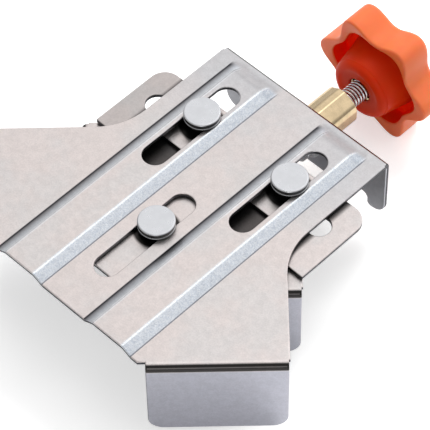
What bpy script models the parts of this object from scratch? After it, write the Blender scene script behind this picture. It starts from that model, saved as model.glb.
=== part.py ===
"""Corner clamp of pressed steel for gluing boards at a right angle.

A ribbed top plate carries two fixed jaws, bent down at 45 degrees to the centre line.
A slider of two plates hangs below it on three shoulder pins that run in slots, and
carries the two moving jaws.  An M8 spindle with a star knob turns in the top plate's
back flange, held between two thrust washers, and drives the slider through a carrier nut.

Metres, +Z up.  +Y points along the spindle to the knob, X across the clamp.
Sizes below are measured from the clamp's datum: the outer face of the back flange,
the centre line, and the flat upper face of the top plate.  Everything hangs on one
empty that lifts the datum, so that the world origin is under the middle of the clamp.
"""

import math

import bmesh
import bpy
from mathutils import Matrix, Vector

# Sheet metal
SHEET = 0.0015            # thickness of every pressed plate
BEND = 0.0024             # outside radius of every bend
RELIEF = 0.0004           # each bend stops this far short of the plate's edge
SEAM = 0.0002             # a flat blank stops this far short of a bend, whose lap carries it on
GAP = 0.0003              # clearance between pieces that seat on each other
ARC_STEP = math.radians(15)

# Top plate: the ribbed strip
STRIP_HALF = 0.0357       # half the strip's width
STRIP_LENGTH = 0.1090     # back flange to front edge
RIB_INNER = 0.0093        # where each raised channel starts, from the centre line
RIB_OUTER = 0.0293        # where it ends
RIB_SLOPE = 0.0038        # width of its sloped sides
RIB_RISE = 0.0019         # its height above the flat plate
RIB_ROUND = 0.0020        # rounding of its creases
RIB_FADE_START = 0.0110   # distance from the back flange where the channels sink away
RIB_FADE_END = 0.0045

# Top plate: wings and fixed jaws, along and square to the 45 degree board faces
DIAGONAL = math.sqrt(0.5)
FRONT_HALF = RIB_OUTER + 0.0028                                   # half of the strip's front edge
JAW_FOLD = DIAGONAL * (STRIP_LENGTH + FRONT_HALF)                 # datum to the fold, square to the jaw
JAW_FACE = JAW_FOLD + BEND                                        # datum to the fixed jaw's outer face
JAW_FRONT = JAW_FOLD - STRIP_LENGTH / DIAGONAL + 0.0024           # the jaw's front end, along the jaw
JAW_REAR = -0.0085                                                # its rear end
JAW_DEPTH = 0.0325        # upper face down to the jaw's lower edge
JAW_CORNER = 0.0050       # rounding of the jaw's lower corners
WING_FILLET = 0.0220      # inside curve between wing and strip

# Top plate: back flange
BACK_DEPTH = 0.0266
BACK_CORNER = 0.0052
ARCH_HEIGHT = 0.0048      # relief along its lower edge
ARCH_FROM = 0.0130
ARCH_TO = 0.0280
ARCH_ROUND = 0.0020

# Pins and the slots that they run in
PIN_SIDE_X = 0.0192
PIN_SIDE_Y = -0.0289
SHANK_R = 0.0040
PIN_HEAD_R = 0.00605
PIN_HEAD_H = 0.0016
WASHER_H = 0.0005
WASHER_R = 0.00605
TAIL_R = 0.0026
PEEN_R = 0.0042
PEEN_H = 0.0012
TRAVEL_IN = 0.0210        # slider travel towards the fixed jaws
TRAVEL_OUT = 0.0110       # slider travel back towards the knob
SLOT_SPARE = 0.0002       # slot length left past the end of the travel

# Slider: guide plate under the strip, jaw plate under the guide plate
GUIDE_BACK = -0.0199
GUIDE_HALF = 0.0453
GUIDE_WING_FRONT = -0.0510
GUIDE_INNER_FRONT = GUIDE_WING_FRONT + 0.0100
GUIDE_STEP_X = 0.0290
GUIDE_CORNER = 0.0060
SPY_HOLE_X = GUIDE_HALF - 0.0097   # round hole in each wing of the guide plate
SPY_HOLE_Y = -0.0330
SPY_HOLE_R = 0.0040
BOARD_GAP = 0.0277        # between the jaws, as the clamp stands
PRESS_FACE = JAW_FACE - SHEET - BOARD_GAP   # datum to the moving jaw's outer face
PRESS_NOSE = 0.0161       # half of the jaw plate's front edge
PRESS_FRONT = PRESS_NOSE / DIAGONAL - PRESS_FACE + BEND
PRESS_REAR = JAW_REAR + 0.0047
PRESS_DEPTH = 0.0315      # jaw plate's upper face down to the jaw's lower edge
JAW_PLATE_BACK = -0.0245
JAW_PLATE_NECK = 0.0270
PIN_FRONT_Y = PRESS_NOSE - (PRESS_FACE - BEND) / DIAGONAL + 0.0150
TONGUE_HALF = 0.0088
TONGUE_FRONT = PIN_FRONT_Y - 0.0229
LUG_HALF = 0.0090
LUG_DEPTH = 0.0235        # guide plate's upper face down to the lug's lower edge
LUG_CORNER = 0.0040

# Spindle line
SPINDLE_Z = -0.0155
THREAD_R = 0.0040
SPINDLE_FRONT = -0.0500
SPINDLE_CHAMFER = 0.0010
NUT_FLATS = 0.0130
NUT_CHAMFER = 0.0010
CARRIER_NUT_H = 0.0065
LOCK_NUT_H = 0.0040
COLLAR_NUT_H = 0.0155
THRUST_WASHER_R = 0.0080
THRUST_WASHER_H = 0.0010

# Star knob
KNOB_R = 0.0234
LOBES = 6
LOBE_DEPTH = 0.0055
LOBE_SHARPNESS = 1.2
KNOB_FRONT = 0.0310       # rim's front edge, from the datum
KNOB_THICKNESS = 0.0118
KNOB_EDGE = 0.0015
KNOB_WALL = 0.0030
RECESS_DEPTH = 0.0075
BOSS_FRONT = 0.0243
BOSS_R = 0.0114
BOSS_ROOT_R = 0.0160      # the boss flares until it meets the rim between the lobes
BOSS_EDGE = 0.0024
MOUTH_R = THREAD_R + 0.0005          # opening round the spindle, with the insert behind it
INSERT_R = 0.0056
INSERT_SET_BACK = 0.0020
INSERT_BACK = 0.0370
DISH_R = 0.0090
DISH_DEPTH = 0.0010

GUIDE_TOP = -SHEET - GAP
JAW_PLATE_TOP = GUIDE_TOP - SHEET - GAP
SLOT_HALF = SHANK_R + GAP
BORE_R = THREAD_R + GAP


def knob_radius(angle, inset=0.0):
    """Outline of the star knob: narrow round lobes with broad hollow waists between them."""
    lobe = (0.5 + 0.5 * math.cos(LOBES * angle)) ** LOBE_SHARPNESS
    return KNOB_R - inset - LOBE_DEPTH * (1 - lobe)


def knob_outline(inset=0.0, per_lobe=14):
    steps = LOBES * per_lobe
    angles = [2 * math.pi * k / steps for k in range(steps)]
    return [(knob_radius(a, inset) * math.cos(a), knob_radius(a, inset) * math.sin(a)) for a in angles]


# World place of the datum
LOWEST = min(SPINDLE_Z + min(z for _, z in knob_outline()), -JAW_DEPTH, JAW_PLATE_TOP - PRESS_DEPTH)
FRONT_Y = min(DIAGONAL * (JAW_FRONT - JAW_FACE), -STRIP_LENGTH)
DATUM = Vector((0.0, -(FRONT_Y + KNOB_FRONT + KNOB_THICKNESS) / 2, -LOWEST))


def clear_scene():
    for old in list(bpy.data.objects):
        bpy.data.objects.remove(old, do_unlink=True)
    collection = bpy.data.collections.new("corner_clamp")
    bpy.context.scene.collection.children.link(collection)


def empty(name, place, parent=None):
    obj = bpy.data.objects.new(name, None)
    obj.empty_display_size = KNOB_R
    obj.location = place
    obj.parent = parent
    bpy.data.collections["corner_clamp"].objects.link(obj)
    return obj


def material(name, colour, metallic, roughness):
    mat = bpy.data.materials.new(name)
    mat.use_nodes = True
    shader = mat.node_tree.nodes["Principled BSDF"]
    shader.inputs["Base Color"].default_value = (*colour, 1.0)
    shader.inputs["Metallic"].default_value = metallic
    shader.inputs["Roughness"].default_value = roughness
    mat.diffuse_color = (*colour, 1.0)
    return mat


def rounded(corners, closed=True):
    """Turn corners (x, y, radius) into points, with an arc at each corner that has a radius."""
    points = []
    count = len(corners)
    for i, (x, y, radius) in enumerate(corners):
        here = Vector((x, y))
        open_end = not closed and i in (0, count - 1)
        if radius <= 0 or open_end:
            points.append(here)
            continue
        before = Vector(corners[i - 1][:2]) - here
        after = Vector(corners[(i + 1) % count][:2]) - here
        half = before.angle(after) / 2
        if math.pi / 2 - half < 1e-4:
            points.append(here)
            continue
        reach = radius / math.tan(half)
        centre = here + (before.normalized() + after.normalized()).normalized() * (radius / math.sin(half))
        first = here + before.normalized() * reach - centre
        turn = first.angle_signed(here + after.normalized() * reach - centre)
        steps = max(2, math.ceil(abs(turn) / ARC_STEP))
        for k in range(steps + 1):
            points.append(centre + Matrix.Rotation(-turn * k / steps, 2) @ first)
    return [tuple(p) for p in points]


def circle(x, y, radius, steps=24):
    angles = [2 * math.pi * k / steps for k in range(steps)]
    return [(x + radius * math.cos(a), y + radius * math.sin(a)) for a in angles]


def slot(x, y_from, y_to, half):
    ends = [(x - half, y_from - half), (x + half, y_from - half), (x + half, y_to + half), (x - half, y_to + half)]
    return rounded([(px, py, half * 0.999) for px, py in ends])


def mirrored(half):
    """Close an outline from its right half, listed from the back to the front."""
    return half + [(-x, y, r) for x, y, r in reversed(half)]


def bake(obj, matrix):
    """Make a mesh object of an evaluated one, welded, with its place applied."""
    bpy.context.view_layer.update()
    graph = bpy.context.evaluated_depsgraph_get()
    mesh = bpy.data.meshes.new_from_object(obj.evaluated_get(graph), depsgraph=graph)
    mesh.transform(matrix)
    work = bmesh.new()
    work.from_mesh(mesh)
    bmesh.ops.remove_doubles(work, verts=work.verts, dist=1e-6)
    bmesh.ops.recalc_face_normals(work, faces=work.faces)
    work.to_mesh(mesh)
    work.free()
    name = obj.name
    bpy.data.objects.remove(obj, do_unlink=True)
    mesh.name = name
    return bpy.data.objects.new(name, mesh)


def prism(name, outlines, low, high, matrix=Matrix(), edge=0.0):
    """A flat outline with holes, filled and extruded from low to high along its local Z."""
    curve = bpy.data.curves.new(name, "CURVE")
    curve.dimensions = "2D"
    curve.fill_mode = "BOTH"
    curve.extrude = (high - low) / 2 - edge
    curve.bevel_depth = edge
    curve.bevel_resolution = 2
    curve.offset = -edge
    for outline in outlines:
        spline = curve.splines.new("POLY")
        spline.points.add(len(outline) - 1)
        for point, (x, y) in zip(spline.points, outline):
            point.co = (x, y, 0.0, 1.0)
        spline.use_cyclic_u = True
    obj = bpy.data.objects.new(name, curve)
    bpy.context.scene.collection.objects.link(obj)
    return bake(obj, matrix @ Matrix.Translation((0, 0, (low + high) / 2)))


def turned(name, profile, axis, steps=32):
    """Revolve a profile of (radius, height) points, listed from the top down, about local Z."""
    mesh = bpy.data.meshes.new(name)
    work = bmesh.new()
    ring = [work.verts.new((r, 0, h)) for r, h in profile]
    for a, b in zip(ring, ring[1:]):
        work.edges.new((a, b))
    if profile[0][0] > 0:
        work.edges.new((ring[-1], ring[0]))
    work.to_mesh(mesh)
    work.free()
    obj = bpy.data.objects.new(name, mesh)
    bpy.context.scene.collection.objects.link(obj)
    screw = obj.modifiers.new("Turn", "SCREW")
    screw.steps = steps
    screw.render_steps = steps
    screw.use_merge_vertices = True
    screw.merge_threshold = 1e-6
    return bake(obj, axis)


def pressed(name, rows):
    """A skin through rows of points and its copy one sheet thickness lower, closed round the edge."""
    mesh = bpy.data.meshes.new(name)
    work = bmesh.new()
    grid = [[work.verts.new(p) for p in row] for row in rows]
    for near, far in zip(grid, grid[1:]):
        for i in range(len(near) - 1):
            work.faces.new((near[i], near[i + 1], far[i + 1], far[i]))
    lower = bmesh.ops.extrude_face_region(work, geom=work.faces[:], use_keep_orig=True)["geom"]
    lower = [item for item in lower if isinstance(item, bmesh.types.BMVert)]
    bmesh.ops.translate(work, verts=lower, vec=(0, 0, -SHEET))
    bmesh.ops.recalc_face_normals(work, faces=work.faces)
    work.to_mesh(mesh)
    work.free()
    return bpy.data.objects.new(name, mesh)


def combine(target, tool, operation):
    """Boolean one mesh object into another and drop the tool."""
    bpy.context.scene.collection.objects.link(target)
    bpy.context.scene.collection.objects.link(tool)
    cut = target.modifiers.new(operation, "BOOLEAN")
    cut.object = tool
    cut.operation = operation
    result = bake(target, Matrix())
    bpy.data.objects.remove(tool, do_unlink=True)
    return result


def finish(obj, name, mat, carrier):
    """Name and colour a finished piece and hang it on the empty of the body that carries it."""
    obj.name = name
    obj.data.name = name
    obj.data.materials.clear()
    obj.data.materials.append(mat)
    obj.data.shade_smooth()
    obj.data.set_sharp_from_angle(angle=math.radians(28))
    bpy.data.collections["corner_clamp"].objects.link(obj)
    obj.parent = carrier
    if carrier.parent:
        obj.location = -carrier.location


def jaw_frame(side):
    """Local X along the board, local Y square to it and outwards, for the right or left side."""
    along = Vector((side * DIAGONAL, DIAGONAL, 0))
    square = Vector((side * DIAGONAL, -DIAGONAL, 0))
    return Matrix((along, square, Vector((0, 0, 1)))).transposed().to_4x4()


def bent_flange(name, ends, face, top, depth, corner, matrix):
    """A flange bent down from a plate: a lap inside the plate, the bend, and the upright."""
    start, stop = ends
    lap = face - BEND - SHEET
    low = top - depth
    turns = [math.pi / 2 * k / 6 for k in range(7)]
    outer = [(face - BEND + BEND * math.sin(a), top - BEND + BEND * math.cos(a)) for a in turns]
    inside = BEND - SHEET
    inner = [(face - BEND + inside * math.sin(a), top - BEND + inside * math.cos(a)) for a in reversed(turns)]
    section = [(lap, top)] + outer + [(face, low - SHEET), (face - SHEET, low - SHEET)] + inner + [(lap, top - SHEET)]
    across = matrix @ Matrix(((0, 0, 1), (1, 0, 0), (0, 1, 0))).to_4x4()
    flange = prism(name, [section], start - SHEET, stop + SHEET, across)
    window = rounded([(start, top + SHEET, 0), (stop, top + SHEET, 0), (stop, low, corner), (start, low, corner)])
    upright = matrix @ Matrix.Rotation(math.pi / 2, 4, "X")
    trim = prism(name + "_trim", [window], -face - SHEET, -lap + SHEET, upright)
    return combine(flange, trim, "INTERSECT")


def rib_section():
    """Half of the strip's cross-section, from the centre line outwards, as (x, height)."""
    span = STRIP_HALF + STRIP_LENGTH
    return [(0, 0, 0), (RIB_INNER, 0, RIB_ROUND), (RIB_INNER + RIB_SLOPE, RIB_RISE, RIB_ROUND),
            (RIB_OUTER - RIB_SLOPE, RIB_RISE, RIB_ROUND), (RIB_OUTER, 0, RIB_ROUND), (span, 0, 0)]


def ribbed_deck():
    """The flat plate with its two raised channels, which sink away before the back flange."""
    half = rounded(rib_section(), closed=False)
    section = [(-x, h) for x, h in reversed(half[1:])] + half
    fade = [(-RIB_FADE_START - (RIB_FADE_END - RIB_FADE_START) * k / 6, 0.5 + 0.5 * math.cos(math.pi * k / 6))
            for k in range(7)]
    stations = [(-2 * STRIP_LENGTH, 1.0)] + fade + [(BEND, 0.0)]
    rows = [[(x, y, h * rise) for x, h in section] for y, rise in stations]
    return pressed("deck", rows)


def deck_outline():
    """Plan of strip and wings, up to where the flanges are bent down."""
    edge = JAW_FOLD - SEAM
    rear = (DIAGONAL * (JAW_REAR + edge), DIAGONAL * (JAW_REAR - edge))
    throat = (STRIP_HALF, JAW_REAR / DIAGONAL - STRIP_HALF)
    front = (edge / DIAGONAL - STRIP_LENGTH, -STRIP_LENGTH)
    return mirrored([(STRIP_HALF, -BEND - SEAM, 0), (*throat, WING_FILLET), (*rear, 0), (*front, 0)])


def slot_cutters():
    """One slot for each pin, as long as the slider's travel."""
    spans = []
    for x, y in ((PIN_SIDE_X, PIN_SIDE_Y), (-PIN_SIDE_X, PIN_SIDE_Y), (0.0, PIN_FRONT_Y)):
        spans.append(slot(x, y - TRAVEL_IN - SLOT_SPARE, y + TRAVEL_OUT + SLOT_SPARE, SLOT_HALF))
    return prism("slots", spans, -3 * SHEET, 3 * SHEET)


def back_flange():
    """The upright at the back, with a hole for the spindle and arches along its lower edge."""
    ends = (RELIEF - STRIP_HALF, STRIP_HALF - RELIEF)
    flange = bent_flange("back_flange", ends, 0.0, 0.0, BACK_DEPTH, BACK_CORNER, Matrix())
    low = -BACK_DEPTH
    upright = Matrix.Rotation(math.pi / 2, 4, "X")
    holes = [circle(0.0, SPINDLE_Z, BORE_R)]
    for side in (1, -1):
        arch = [(ARCH_FROM, low - SHEET, 0), (ARCH_TO, low - SHEET, 0),
                (ARCH_TO, low + ARCH_HEIGHT, ARCH_ROUND), (ARCH_FROM, low + ARCH_HEIGHT, ARCH_ROUND)]
        holes.append([(side * x, z) for x, z in rounded(arch)])
    return combine(flange, prism("back_cuts", holes, -SHEET, 2 * SHEET, upright), "DIFFERENCE")


def top_plate(mat, carrier):
    plan = rounded(deck_outline())
    body = combine(ribbed_deck(), prism("plan", [plan], -3 * SHEET, 3 * SHEET), "INTERSECT")
    body = combine(body, slot_cutters(), "DIFFERENCE")
    for side in (1, -1):
        ends = (JAW_FRONT, JAW_REAR - RELIEF)
        jaw = bent_flange("jaw", ends, JAW_FACE, 0.0, JAW_DEPTH, JAW_CORNER, jaw_frame(side))
        body = combine(body, jaw, "UNION")
    body = combine(body, back_flange(), "UNION")
    finish(body, "top_plate", mat, carrier)


def guide_plate(mat, carrier):
    """Flat plate under the strip, with a tongue to the front pin and a lug for the carrier nut."""
    round_in = GUIDE_CORNER / 2
    plan = mirrored([
        (LUG_HALF + SHEET, GUIDE_BACK - BEND - SEAM, 0),
        (LUG_HALF + SHEET, GUIDE_BACK, 0),
        (GUIDE_HALF, GUIDE_BACK, GUIDE_CORNER),
        (GUIDE_HALF, GUIDE_WING_FRONT, 0),
        (GUIDE_STEP_X, GUIDE_WING_FRONT, 0),
        (GUIDE_STEP_X, GUIDE_INNER_FRONT, round_in),
        (TONGUE_HALF, GUIDE_INNER_FRONT, round_in),
        (TONGUE_HALF, TONGUE_FRONT, 0),
    ])
    holes = [circle(s * SPY_HOLE_X, SPY_HOLE_Y, SPY_HOLE_R) for s in (1, -1)] + pin_holes()
    body = prism("guide", [rounded(plan)] + holes, GUIDE_TOP - SHEET, GUIDE_TOP)
    place = Matrix.Translation((0, GUIDE_BACK, 0))
    lug = bent_flange("lug", (-LUG_HALF, LUG_HALF), 0.0, GUIDE_TOP, LUG_DEPTH, LUG_CORNER, place)
    upright = place @ Matrix.Rotation(math.pi / 2, 4, "X")
    lug = combine(lug, prism("lug_hole", [circle(0, SPINDLE_Z, BORE_R)], -SHEET, 2 * SHEET, upright), "DIFFERENCE")
    finish(combine(body, lug, "UNION"), "guide_plate", mat, carrier)


def pin_holes():
    places = ((PIN_SIDE_X, PIN_SIDE_Y), (-PIN_SIDE_X, PIN_SIDE_Y), (0.0, PIN_FRONT_Y))
    return [circle(x, y, TAIL_R + GAP, 20) for x, y in places]


def jaw_plate(mat, carrier):
    """Lower plate of the slider: a neck under the side pins, and two jaws bent down."""
    edge = PRESS_FACE - BEND - SEAM
    neck = (JAW_PLATE_NECK, PRESS_REAR / DIAGONAL - JAW_PLATE_NECK)
    rear = (DIAGONAL * (PRESS_REAR + edge), DIAGONAL * (PRESS_REAR - edge))
    front = (PRESS_NOSE, DIAGONAL * (PRESS_FRONT - edge))
    plan = mirrored([(JAW_PLATE_NECK, JAW_PLATE_BACK, JAW_CORNER / 2), (*neck, JAW_CORNER), (*rear, 0), (*front, 0)])
    body = prism("press", [rounded(plan)] + pin_holes(), JAW_PLATE_TOP - SHEET, JAW_PLATE_TOP)
    for side in (1, -1):
        jaw = bent_flange("jaw", (PRESS_FRONT + RELIEF, PRESS_REAR - RELIEF), PRESS_FACE, JAW_PLATE_TOP, PRESS_DEPTH,
                          JAW_CORNER, jaw_frame(side))
        body = combine(body, jaw, "UNION")
    finish(body, "jaw_plate", mat, carrier)


def pin(name, x, y, seat, mat, carrier):
    """Shoulder pin: head over its washer, shoulder through the slot, tail peened under the slider."""
    under = seat + 2 * GAP + WASHER_H
    low = JAW_PLATE_TOP - SHEET - GAP
    chamfer = PIN_HEAD_H / 4
    profile = [(0, under + PIN_HEAD_H), (PIN_HEAD_R - chamfer, under + PIN_HEAD_H),
               (PIN_HEAD_R, under + PIN_HEAD_H - chamfer), (PIN_HEAD_R, under),
               (SHANK_R, under), (SHANK_R, GUIDE_TOP + GAP), (TAIL_R, GUIDE_TOP + GAP),
               (TAIL_R, low), (PEEN_R, low), (PEEN_R * 0.6, low - PEEN_H), (0, low - PEEN_H)]
    finish(turned(name, profile, Matrix.Translation((x, y, 0))), name, mat, carrier)


def washer(name, x, y, seat, mat, carrier):
    outlines = [circle(0, 0, WASHER_R, 32), circle(0, 0, SHANK_R + GAP)]
    body = prism(name, outlines, seat + GAP, seat + GAP + WASHER_H, Matrix.Translation((x, y, 0)))
    finish(body, name, mat, carrier)


def along_spindle():
    """Local Z along the spindle towards the knob, local X to the clamp's +X."""
    return Matrix.Translation((0, 0, SPINDLE_Z)) @ Matrix.Rotation(-math.pi / 2, 4, "X")


def hex_nut(name, y_from, y_to, mat, carrier):
    """A hexagon on the spindle with both ends chamfered by a cone."""
    corners = NUT_FLATS / math.sqrt(3)
    hexagon = [(corners * math.cos(math.radians(60 * k)), corners * math.sin(math.radians(60 * k))) for k in range(6)]
    body = prism(name, [hexagon, circle(0, 0, BORE_R)], y_from, y_to, along_spindle())
    wide = corners + NUT_CHAMFER
    tip = corners - 3 * NUT_CHAMFER
    profile = [(0, y_to + NUT_CHAMFER), (tip, y_to + NUT_CHAMFER), (wide, y_to - NUT_CHAMFER),
               (wide, y_from + NUT_CHAMFER), (tip, y_from - NUT_CHAMFER), (0, y_from - NUT_CHAMFER)]
    finish(combine(body, turned("cone", profile, along_spindle(), 48), "INTERSECT"), name, mat, carrier)


def thrust_washer(name, y_from, mat, carrier):
    outlines = [circle(0, 0, THRUST_WASHER_R, 32), circle(0, 0, BORE_R)]
    finish(prism(name, outlines, y_from, y_from + THRUST_WASHER_H, along_spindle()), name, mat, carrier)


def spindle(mat, carrier):
    back = INSERT_BACK - GAP
    chamfered = THREAD_R - SPINDLE_CHAMFER
    profile = [(0, back), (THREAD_R, back), (THREAD_R, SPINDLE_FRONT + SPINDLE_CHAMFER),
               (chamfered, SPINDLE_FRONT), (0, SPINDLE_FRONT)]
    finish(turned("spindle", profile, along_spindle()), "spindle", mat, carrier)


def star_knob(mat, carrier):
    """Moulded star: a lobed cap, hollow from the front, with a turned boss for the insert."""
    back = KNOB_FRONT + KNOB_THICKNESS
    floor = KNOB_FRONT + RECESS_DEPTH
    axis = along_spindle()
    body = prism("star", [knob_outline()], KNOB_FRONT, back, axis, edge=KNOB_EDGE)
    dish = [(0, back + SHEET), (DISH_R + SHEET, back + SHEET), (DISH_R - DISH_DEPTH, back - DISH_DEPTH),
            (0, back - DISH_DEPTH)]
    body = combine(body, turned("dish", dish, axis, 48), "DIFFERENCE")
    recess = prism("recess", [knob_outline(KNOB_WALL)], KNOB_FRONT - SHEET, floor, axis)
    body = combine(body, recess, "DIFFERENCE")
    bore_r = INSERT_R + GAP
    insert_front = BOSS_FRONT + INSERT_SET_BACK
    flare = (BOSS_ROOT_R - BOSS_R) / (floor - BOSS_FRONT - BOSS_EDGE)
    turns = [math.pi / 2 * k / 4 for k in range(5)]
    shoulder = [(BOSS_R - BOSS_EDGE * (1 - math.cos(a)), BOSS_FRONT + BOSS_EDGE * (1 - math.sin(a))) for a in turns]
    boss = [(0, floor + SHEET), (BOSS_ROOT_R + flare * SHEET, floor + SHEET),
            *shoulder, (MOUTH_R, BOSS_FRONT), (MOUTH_R, insert_front - GAP),
            (bore_r, insert_front - GAP), (bore_r, INSERT_BACK + GAP), (0, INSERT_BACK + GAP)]
    body = combine(body, turned("boss", boss, axis, 48), "UNION")
    finish(body, "star_knob", mat, carrier)


def knob_insert(mat, carrier):
    front = BOSS_FRONT + INSERT_SET_BACK
    outlines = [circle(0, 0, INSERT_R, 32), circle(0, 0, BORE_R)]
    finish(prism("knob_insert", outlines, front, INSERT_BACK, along_spindle()), "knob_insert", mat, carrier)


def main():
    clear_scene()
    datum = empty("datum", DATUM)
    slider = empty("slider", Vector((0, 0, SPINDLE_Z)), datum)
    screw = empty("screw", Vector((0, 0, SPINDLE_Z)), datum)

    steel = material("pressed_steel", (0.66, 0.64, 0.63), 1.0, 0.38)
    pin_steel = material("pin_steel", (0.74, 0.74, 0.76), 1.0, 0.30)
    zinc = material("zinc_plate", (0.55, 0.57, 0.60), 1.0, 0.35)
    brass = material("brass", (0.80, 0.62, 0.34), 1.0, 0.28)
    orange = material("orange_plastic", (0.86, 0.16, 0.05), 0.0, 0.42)

    top_plate(steel, datum)
    guide_plate(steel, slider)
    jaw_plate(steel, slider)

    pins = (("right", PIN_SIDE_X, PIN_SIDE_Y, RIB_RISE), ("left", -PIN_SIDE_X, PIN_SIDE_Y, RIB_RISE),
            ("front", 0.0, PIN_FRONT_Y, 0.0))
    for place, x, y, seat in pins:
        pin("guide_pin_" + place, x, y, seat, pin_steel, slider)
        washer("pin_washer_" + place, x, y, seat, zinc, slider)
    nut_back = GUIDE_BACK - SHEET - GAP
    hex_nut("carrier_nut", nut_back - CARRIER_NUT_H, nut_back, zinc, slider)

    inner = -SHEET - GAP - THRUST_WASHER_H
    outer = 2 * GAP + THRUST_WASHER_H
    spindle(zinc, screw)
    thrust_washer("thrust_washer_inner", inner, zinc, screw)
    hex_nut("lock_nut", inner - GAP - LOCK_NUT_H, inner - GAP, zinc, screw)
    thrust_washer("thrust_washer_outer", GAP, zinc, screw)
    hex_nut("collar_nut", outer, outer + COLLAR_NUT_H, brass, screw)
    star_knob(orange, screw)
    knob_insert(brass, screw)


main()
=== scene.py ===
import math

import bmesh
import bpy
from bpy.props import FloatProperty, FloatVectorProperty, PointerProperty
from bpy.types import Operator, Panel, PropertyGroup
from mathutils import Matrix, Vector


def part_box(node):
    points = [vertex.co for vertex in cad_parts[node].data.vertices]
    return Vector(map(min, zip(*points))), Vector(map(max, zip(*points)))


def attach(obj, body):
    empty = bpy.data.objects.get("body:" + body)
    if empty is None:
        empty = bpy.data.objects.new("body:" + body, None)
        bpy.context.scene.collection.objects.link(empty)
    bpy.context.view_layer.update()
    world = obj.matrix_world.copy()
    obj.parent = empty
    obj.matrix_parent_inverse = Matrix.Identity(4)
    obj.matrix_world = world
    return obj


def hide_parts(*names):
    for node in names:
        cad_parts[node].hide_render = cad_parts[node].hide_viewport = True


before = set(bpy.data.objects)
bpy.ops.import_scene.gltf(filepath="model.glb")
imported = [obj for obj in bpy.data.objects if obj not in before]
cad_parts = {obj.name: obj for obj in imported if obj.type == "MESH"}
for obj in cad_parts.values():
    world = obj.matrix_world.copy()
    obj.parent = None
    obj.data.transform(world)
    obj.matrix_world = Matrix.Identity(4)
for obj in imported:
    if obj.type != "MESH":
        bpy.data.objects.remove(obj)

bl_info = {
    "name": "Corner Clamp",
    "version": (1, 0, 0),
    "blender": (4, 5, 0),
    "location": "View3D > Sidebar > Corner Clamp",
    "description": "Dresses a corner clamp in pressed steel, brass and orange plastic",
    "category": "Object",
}

# The clamp's datum: outer face of the back flange, centre line, flat upper face of the top plate
PLATE_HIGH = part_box("top_plate")[1]
RIB_RISE = 0.0019
DATUM = Vector((0.0, PLATE_HIGH.y, PLATE_HIGH.z - RIB_RISE))
DIAGONAL = math.sqrt(0.5)

SHEET = 0.0015
GAP = 0.0003
BEND = 0.0024
RELIEF = 0.0004
GUIDE_TOP = -SHEET - GAP
JAW_PLATE_TOP = GUIDE_TOP - SHEET - GAP

# Top plate
STRIP_HALF = 0.0357
STRIP_LENGTH = 0.1090
RIB_INNER = 0.0093
RIB_OUTER = 0.0293
RIB_SLOPE = 0.0038
RIB_BULGE = 0.25          # how far a channel's side bows out of its slope
CREASE = 0.0003           # how far the rounding of a crease reaches into the flat beside it
RIB_FADE_START = 0.0085   # distances from the back flange where the channels start and end to fade
RIB_FADE_END = 0.0030
FRONT_HALF = RIB_OUTER + 0.0028
JAW_FOLD = DIAGONAL * (STRIP_LENGTH + FRONT_HALF)
JAW_FACE = JAW_FOLD + BEND
JAW_FRONT = JAW_FOLD - STRIP_LENGTH / DIAGONAL + 0.0024
JAW_REAR = -0.0085
JAW_DEPTH = 0.0325
JAW_CORNER = 0.0050
WING_FILLET = 0.0220
BACK_DEPTH = 0.0266
BACK_CORNER = 0.0052
ARCH_HEIGHT = 0.0048
ARCH_FROM = 0.0130
ARCH_TO = 0.0280
ARCH_ROUND = 0.0020

# Moving jaws
JAW_GAP = 0.0277          # between fixed and moving jaws, as the clamp stands
PRESS_FACE = JAW_FACE - SHEET - JAW_GAP
PRESS_NOSE = 0.0161
PRESS_FRONT = PRESS_NOSE / DIAGONAL - PRESS_FACE + BEND
PRESS_REAR = JAW_REAR + 0.0047
PRESS_DEPTH = 0.0315
JAW_PLATE_BACK = -0.0245
JAW_PLATE_NECK = 0.0270

# Pins and slots
PIN_FRONT_Y = PRESS_NOSE - (PRESS_FACE - BEND) / DIAGONAL + 0.0150
PINS = (("guide_pin_right", 0.0192, -0.0289, RIB_RISE),
        ("guide_pin_left", -0.0192, -0.0289, RIB_RISE),
        ("guide_pin_front", 0.0, PIN_FRONT_Y, 0.0))
SLOT_HALF = 0.0043
SLOT_FRONT = 0.0212
SLOT_BACK = 0.0112
HEAD_R = 0.00605
HEAD_H = 0.0016
SHANK_R = 0.0040
WASHER_H = 0.0005
TAIL_R = 0.0026

# Guide plate
GUIDE_BACK = -0.0199
GUIDE_HALF = 0.0453
GUIDE_WING_FRONT = -0.0510
GUIDE_INNER_FRONT = -0.0410
GUIDE_STEP_X = 0.0290
GUIDE_CORNER = 0.0060
SHARP_CORNER = 0.0004
TONGUE_HALF = 0.0088
TONGUE_FRONT = PIN_FRONT_Y - 0.0229
SPY_HOLE = (0.0356, -0.0330, 0.0040)
LUG_HALF = 0.0090
LUG_DEPTH = 0.0235
LUG_CORNER = 0.0040

# Spindle line
SPINDLE_Z = -0.0155
BORE_R = 0.0043
CREST_R = 0.0040
THREAD_DEPTH = 0.0007
NUT_FLATS = 0.0130
NUT_CORNER_FROM = math.radians(12)    # where a nut's flat starts to round into its corner
NUT_CORNER_LOSS = 0.00068             # how much its rounding takes off the corner
COLLAR_TURN = math.radians(30)        # how the collar nut stands in the photo

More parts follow.
